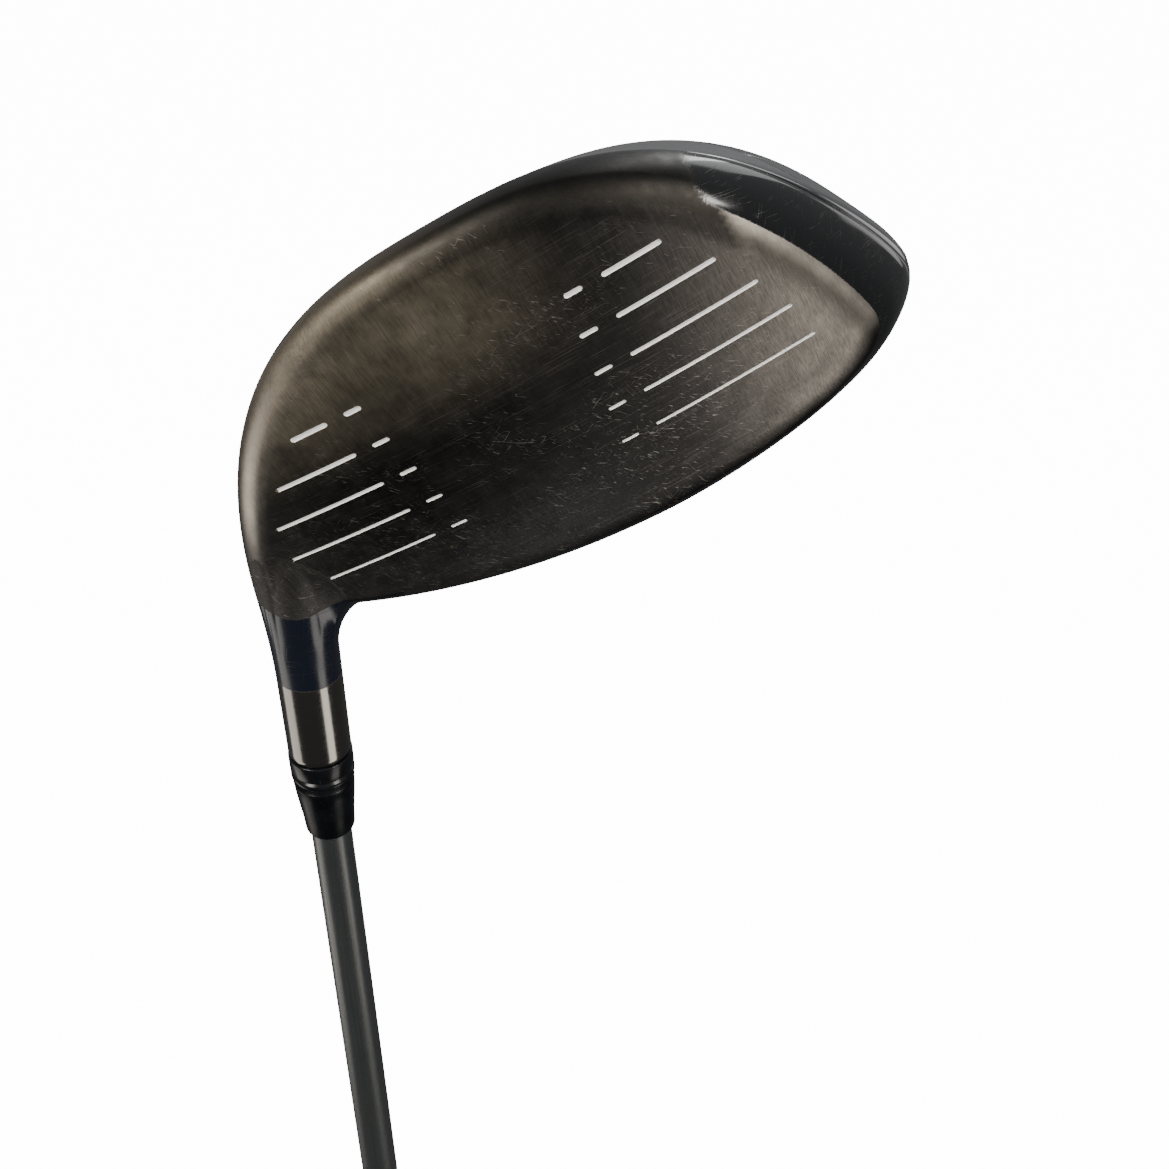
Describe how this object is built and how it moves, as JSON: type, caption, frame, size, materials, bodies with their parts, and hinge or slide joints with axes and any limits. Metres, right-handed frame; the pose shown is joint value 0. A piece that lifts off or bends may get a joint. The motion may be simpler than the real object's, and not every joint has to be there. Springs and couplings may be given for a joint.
{
  "type": "golf driver",
  "caption": "Golf driver with a hollow head, an adapter sleeve clamped by a sole bolt, a tapered shaft, a rubber grip and a screwed-in rear weight.",
  "frame": {"origin": "centre of the grip cap's butt end, on the shaft's axis", "axes": "+Z along the shaft from the grip to the head, the face looks towards -Y, +X from heel to toe"},
  "size_m": [0.1231, 0.1113, 1.1811],
  "materials": {
    "face_metal": "dark brushed titanium with fine vertical grain and many small scuffs",
    "body_paint": "gloss navy-black paint, bare polished metal at the hosel's end",
    "ring_alloy": "satin black anodised alloy",
    "composite": "gloss clear coat over woven carbon composite",
    "weight_steel": "turned and blasted heavy alloy",
    "screw_steel": "black oxide screw steel",
    "insert_steel": "plain machined steel",
    "clip_polymer": "natural moulded polymer",
    "sleeve_alloy": "machined aluminium",
    "adapter_black": "gloss black anodised collar",
    "ferrule_black": "polished black plastic",
    "plug_brass": "turned brass",
    "graphite": "satin charcoal paint over graphite fibre",
    "tape": "double-sided paper tape",
    "grip_rubber": "matt moulded rubber with a fine cross pattern",
    "cap_rubber": "matt moulded rubber"
  },
  "bodies": {
    "shaft_assembly": {"shaft": "graphite", "grip_tape": "tape", "grip": "grip_rubber", "grip_cap": "cap_rubber", "tip_plug": "plug_brass", "loft_sleeve": "sleeve_alloy", "sleeve_ring": "adapter_black", "ferrule": "ferrule_black"},
    "bolt_washer": {"bolt_washer": "screw_steel"},
    "head": {"face_cup": "face_metal", "body_frame": "body_paint", "hosel_tube": "body_paint", "rear_ring": "ring_alloy", "crown_shell": "composite", "sole_panel_heel": "composite", "sole_panel_toe": "composite", "weight_insert": "insert_steel"},
    "bolt_retainer": {"bolt_retainer": "clip_polymer"},
    "hosel_bolt": {"hosel_bolt": "screw_steel"},
    "weight_cartridge": {"weight_cartridge": "weight_steel"},
    "weight_screw": {"weight_screw": "screw_steel"}
  },
  "joints": [
    {"name": "head_pull_off", "type": "slide", "parent": "shaft_assembly", "child": "bolt_washer", "axis": [0, 0, 1], "range_m": [0, 0.042]},
    {"name": "head_index", "type": "hinge", "parent": "bolt_washer", "child": "head", "pos_m": [0, 0, 1.101], "axis": [0, 0, 1], "continuous": true},
    {"name": "bolt_back_out", "type": "slide", "parent": "bolt_washer", "child": "bolt_retainer", "axis": [0, 0, 1], "range_m": [0, 0.009]},
    {"name": "bolt_turn", "type": "hinge", "parent": "bolt_retainer", "child": "hosel_bolt", "pos_m": [0, 0, 1.122], "axis": [0, 0, 1], "range_deg": [0, 4051]},
    {"name": "weight_lift_out", "type": "slide", "parent": "head", "child": "weight_cartridge", "axis": [-0.4594, 0.3746, 0.8054], "range_m": [0, 0.009]},
    {"name": "weight_screw_turn", "type": "hinge", "parent": "weight_cartridge", "child": "weight_screw", "pos_m": [0.04361, 0.076, 1.14564], "axis": [-0.4594, 0.3746, 0.8054], "range_deg": [0, 4629]}
  ],
  "couplings": [
    {"joint": "bolt_turn", "follows": "bolt_back_out", "rad_per_m": 7854},
    {"joint": "weight_screw_turn", "follows": "weight_lift_out", "rad_per_m": 8976}
  ]
}
